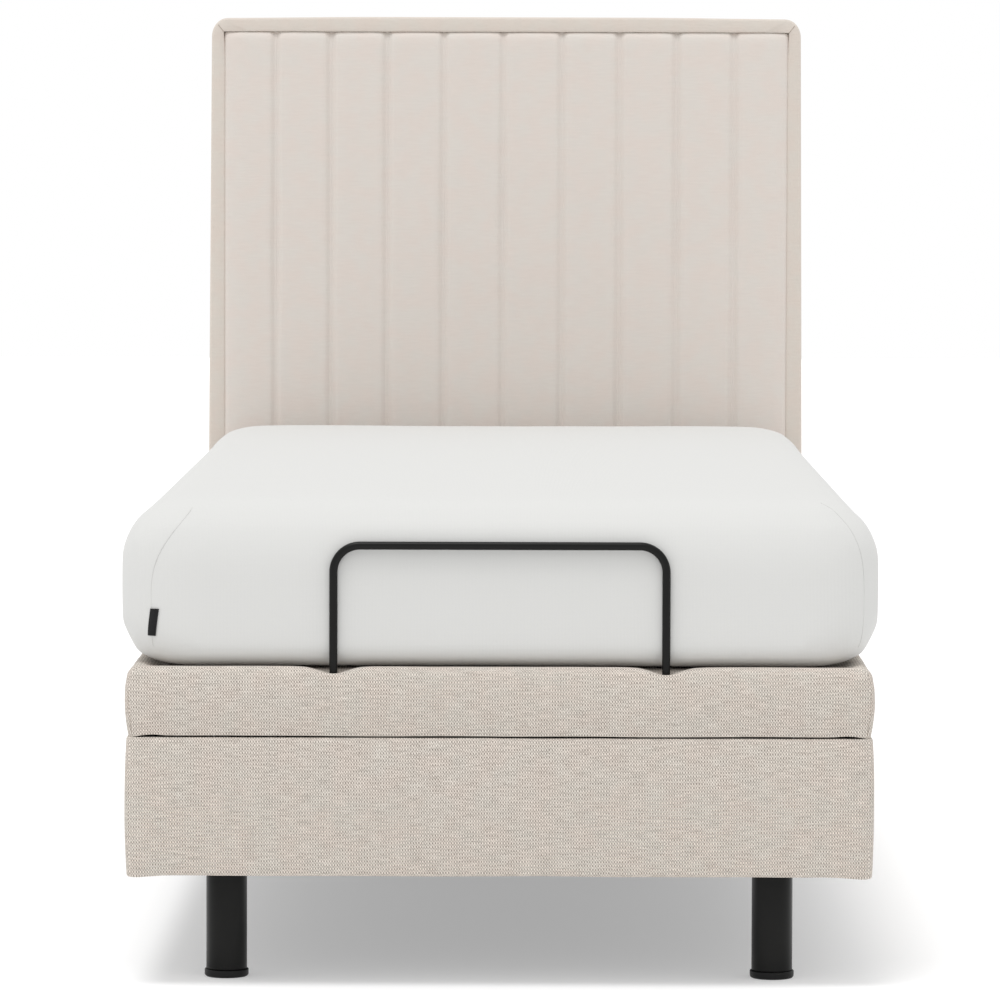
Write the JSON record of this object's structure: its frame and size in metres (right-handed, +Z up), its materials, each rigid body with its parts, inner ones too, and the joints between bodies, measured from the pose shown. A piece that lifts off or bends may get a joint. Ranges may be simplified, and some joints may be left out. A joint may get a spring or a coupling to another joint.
{
  "type": "adjustable bed",
  "caption": "Single adjustable bed: upholstered box base with lifting back and leg sections, mattress with foot retainer bar, and a channelled headboard.",
  "frame": {"origin": "centre of the footprint, on the floor", "axes": "+X to the right seen from the foot end, +Y towards the headboard, +Z up"},
  "size_m": [0.92, 2.116, 1.215],
  "materials": {
    "mattress_fabric": "fine white woven cover",
    "base_fabric": "beige melange tweed weave",
    "headboard_fabric": "pale beige woven upholstery",
    "foam": "open cell foam",
    "wood_board": "raw plywood",
    "lining": "black felt",
    "black_metal": "satin black powder coat",
    "glide_plastic": "satin black",
    "nylon": "natural nylon",
    "black_plastic": "moulded, fine grain",
    "bright_steel": "zinc plated",
    "frame_steel": "grey powder coat"
  },
  "bodies": {
    "base": {"base_frame": "frame_steel", "side_panel_left": "wood_board", "side_panel_right": "wood_board", "foot_panel": "wood_board", "head_panel": "wood_board", "box_cover": "base_fabric", "dust_cover": "lining", "leg_foot_left": "black_metal", "glide_foot_left": "glide_plastic", "leg_foot_right": "black_metal", "glide_foot_right": "glide_plastic", "leg_head_left": "black_metal", "glide_head_left": "glide_plastic", "leg_head_right": "black_metal", "glide_head_right": "glide_plastic", "headboard_border": "base_fabric", "headboard_board": "wood_board", "headboard_panel": "headboard_fabric", "headboard_bracket_left": "frame_steel", "headboard_bracket_right": "frame_steel", "control_box": "black_plastic", "back_drive_lead": "black_plastic", "leg_drive_lead": "black_plastic", "seat_deck": "wood_board", "seat_foam": "foam", "seat_cover": "base_fabric", "thigh_hinge_rod": "bright_steel", "back_hinge_rod": "bright_steel", "mattress_seat": "mattress_fabric", "back_drive_tube": "bright_steel", "back_drive_housing": "black_plastic", "leg_drive_tube": "bright_steel", "leg_drive_housing": "black_plastic", "mattress_fold_back": "mattress_fabric", "mattress_fold_thigh": "mattress_fabric"},
    "back_section": {"back_frame": "frame_steel", "back_deck": "wood_board", "back_foam": "foam", "back_cover": "base_fabric", "mattress_back": "mattress_fabric"},
    "thigh_section": {"thigh_frame": "frame_steel", "thigh_deck": "wood_board", "thigh_foam": "foam", "thigh_cover": "base_fabric", "mattress_thigh": "mattress_fabric", "knee_hinge_rod": "bright_steel"},
    "calf_section": {"calf_frame": "frame_steel", "calf_deck": "wood_board", "calf_foam": "foam", "calf_cover": "base_fabric", "mattress_calf": "mattress_fabric", "retainer_bar": "black_metal"},
    "back_lift_arm": {"back_lift_frame": "frame_steel"},
    "leg_lift_arm": {"leg_lift_frame": "frame_steel"},
    "back_drive_rod_body": {"back_drive_rod": "bright_steel"},
    "leg_drive_rod_body": {"leg_drive_rod": "bright_steel"},
    "back_wheel_left": {"back_roller_left": "nylon"},
    "back_wheel_right": {"back_roller_right": "nylon"},
    "leg_wheel_left": {"leg_roller_left": "nylon"},
    "leg_wheel_right": {"leg_roller_right": "nylon"}
  },
  "joints": [
    {"name": "back_lift", "type": "hinge", "parent": "base", "child": "back_section", "pos_m": [0, 0.177, 0.35], "axis": [1, 0, 0], "range_deg": [0, 60], "deforming": ["mattress_fold_back"]},
    {"name": "thigh_lift", "type": "hinge", "parent": "base", "child": "thigh_section", "pos_m": [0, -0.083, 0.35], "axis": [-1, 0, 0], "range_deg": [0, 35], "deforming": ["mattress_fold_thigh"]},
    {"name": "knee_fold", "type": "hinge", "parent": "thigh_section", "child": "calf_section", "pos_m": [0, -0.443, 0.35], "axis": [1, 0, 0], "range_deg": [0, 54.6]},
    {"name": "back_arm_turn", "type": "hinge", "parent": "base", "child": "back_lift_arm", "pos_m": [0, 0.217, 0.24], "axis": [1, 0, 0], "range_deg": [0, 55.8]},
    {"name": "leg_arm_turn", "type": "hinge", "parent": "base", "child": "leg_lift_arm", "pos_m": [0, -0.103, 0.24], "axis": [-1, 0, 0], "range_deg": [0, 32.9]},
    {"name": "back_rod_slide", "type": "slide", "parent": "base", "child": "back_drive_rod_body", "axis": [0, 1, 0], "range_m": [0, 0.07413]},
    {"name": "leg_rod_slide", "type": "slide", "parent": "base", "child": "leg_drive_rod_body", "axis": [0, -1, 0], "range_m": [0, 0.04134]},
    {"name": "back_roller_left_spin", "type": "hinge", "parent": "back_lift_arm", "child": "back_wheel_left", "pos_m": [0, 0.50721, 0.316], "axis": [1, 0, 0], "range_deg": [-330, 0]},
    {"name": "back_roller_right_spin", "type": "hinge", "parent": "back_lift_arm", "child": "back_wheel_right", "pos_m": [0, 0.50721, 0.316], "axis": [1, 0, 0], "range_deg": [-330, 0]},
    {"name": "leg_roller_left_spin", "type": "hinge", "parent": "leg_lift_arm", "child": "leg_wheel_left", "pos_m": [0, -0.33065, 0.316], "axis": [-1, 0, 0], "range_deg": [-186, 0]},
    {"name": "leg_roller_right_spin", "type": "hinge", "parent": "leg_lift_arm", "child": "leg_wheel_right", "pos_m": [0, -0.33065, 0.316], "axis": [-1, 0, 0], "range_deg": [-186, 0]}
  ],
  "couplings": [
    {"joint": "knee_fold", "follows": "thigh_lift", "ratio": 1.56},
    {"joint": "back_arm_turn", "follows": "back_lift", "ratio": 0.93},
    {"joint": "leg_arm_turn", "follows": "thigh_lift", "ratio": 0.94},
    {"joint": "back_rod_slide", "follows": "back_lift", "m_per_rad": 0.070785},
    {"joint": "leg_rod_slide", "follows": "thigh_lift", "m_per_rad": 0.06767},
    {"joint": "back_roller_left_spin", "follows": "back_lift", "ratio": -5.474},
    {"joint": "leg_roller_left_spin", "follows": "thigh_lift", "ratio": -5.274},
    {"joint": "back_roller_right_spin", "follows": "back_lift", "ratio": -5.474},
    {"joint": "leg_roller_right_spin", "follows": "thigh_lift", "ratio": -5.274}
  ]
}
